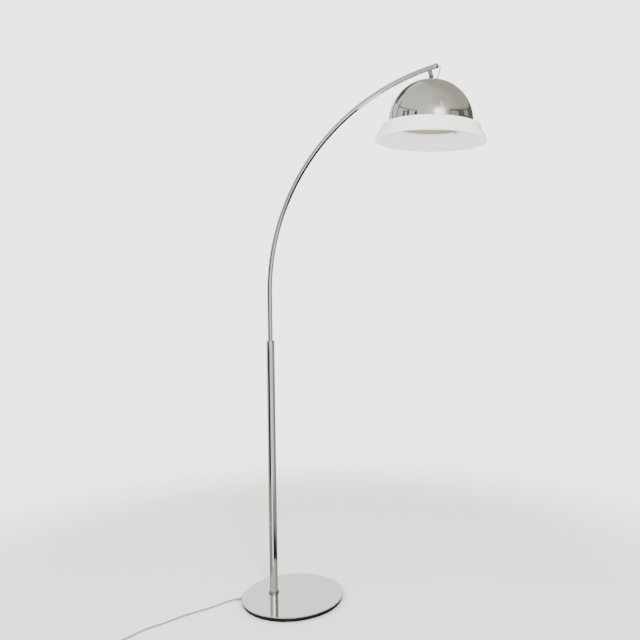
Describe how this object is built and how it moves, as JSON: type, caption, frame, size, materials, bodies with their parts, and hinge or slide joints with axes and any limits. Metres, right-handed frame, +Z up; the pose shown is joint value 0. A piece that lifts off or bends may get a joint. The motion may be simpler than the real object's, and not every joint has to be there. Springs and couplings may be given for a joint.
{
  "type": "arc floor lamp",
  "caption": "Arc floor lamp: round weighted base, upright pole, curved swivelling arm, and a domed metal shade with an opal skirt on a ball joint; mains lead with foot switch.",
  "frame": {"origin": "centre of the base's underside, on the floor", "axes": "+X from the pole towards the shade, +Y to the lamp's left side when it faces +X, +Z up"},
  "size_m": [1.2148, 0.766, 1.921],
  "materials": {
    "chrome": "polished, lightly pitted at the base",
    "black_iron": "matt black paint on cast iron",
    "felt": "felt pad",
    "zinc_steel": "zinc plated",
    "black_rubber": "soft satin",
    "nylon": "natural nylon",
    "opal_acrylic": "glossy opal white",
    "clear_flex": "clear twin flex over tinned strands",
    "ivory_plastic": "moulded satin",
    "bakelite": "moulded gloss",
    "ceramic": "glazed",
    "brass": "bright",
    "bulb_glass": "inside-frosted"
  },
  "bodies": {
    "stand": {"base_pad": "felt", "base_weight": "black_iron", "base_cover": "chrome", "foot_screw_1": "zinc_steel", "foot_screw_2": "zinc_steel", "foot_screw_3": "zinc_steel", "foot_collar": "chrome", "pole_foot_insert": "zinc_steel", "pole": "chrome", "pole_top_bush": "chrome", "arm_stop": "nylon", "pole_flex": "clear_flex", "strain_relief": "clear_flex", "mains_cord": "clear_flex", "switch_base": "ivory_plastic", "switch_cover": "ivory_plastic", "switch_spring": "zinc_steel", "switch_tail": "clear_flex", "cord_coil": "clear_flex", "coil_tie": "black_rubber", "plug_tail": "clear_flex", "plug_body": "ivory_plastic", "plug_pin_1": "brass", "plug_pin_2": "brass"},
    "button": {"switch_button": "ivory_plastic"},
    "arm": {"arm_tube": "chrome", "arm_foot_bush": "nylon", "arm_flex": "clear_flex", "arm_end_grommet": "black_rubber", "ball_socket": "chrome", "ball_cap": "zinc_steel", "saddle_nut": "zinc_steel", "lamp_lead": "clear_flex"},
    "liner": {"ball_liner": "nylon"},
    "shade": {"ball_stud": "chrome", "stud_washer": "zinc_steel", "stud_nut": "zinc_steel", "dome": "chrome", "dome_grommet": "black_rubber", "skirt": "opal_acrylic", "skirt_clip_1": "zinc_steel", "skirt_clip_2": "zinc_steel", "skirt_clip_3": "zinc_steel", "skirt_screw_1": "chrome", "skirt_screw_2": "chrome", "skirt_screw_3": "chrome", "holder_bracket": "zinc_steel", "holder_nipple": "zinc_steel", "holder_nut": "zinc_steel", "holder_cap": "bakelite", "holder_body": "bakelite", "holder_core": "ceramic", "holder_thread": "brass", "holder_contact": "brass", "holder_lead": "clear_flex", "bulb_cap": "brass", "bulb_glass": "bulb_glass"}
  },
  "joints": [
    {"name": "arm_swivel", "type": "hinge", "parent": "stand", "child": "arm", "pos_m": [-0.0744, 0, 0.94], "axis": [0, 0, 1], "range_deg": [-170, 170]},
    {"name": "shade_tilt", "type": "hinge", "parent": "arm", "child": "liner", "pos_m": [0.55427, 0, 1.87153], "axis": [0, 1, 0], "range_deg": [-35, 12], "deforming": ["lamp_lead"]},
    {"name": "shade_roll", "type": "hinge", "parent": "liner", "child": "shade", "pos_m": [0.55427, 0, 1.87153], "axis": [1, 0, 0], "range_deg": [-24, 24], "deforming": ["lamp_lead"]},
    {"name": "button_press", "type": "slide", "parent": "stand", "child": "button", "axis": [0, 0, -1], "range_m": [0, 0.0025], "stiffness_N_per_m": 600, "springref_m": -0.002, "deforming": ["switch_spring"]}
  ]
}
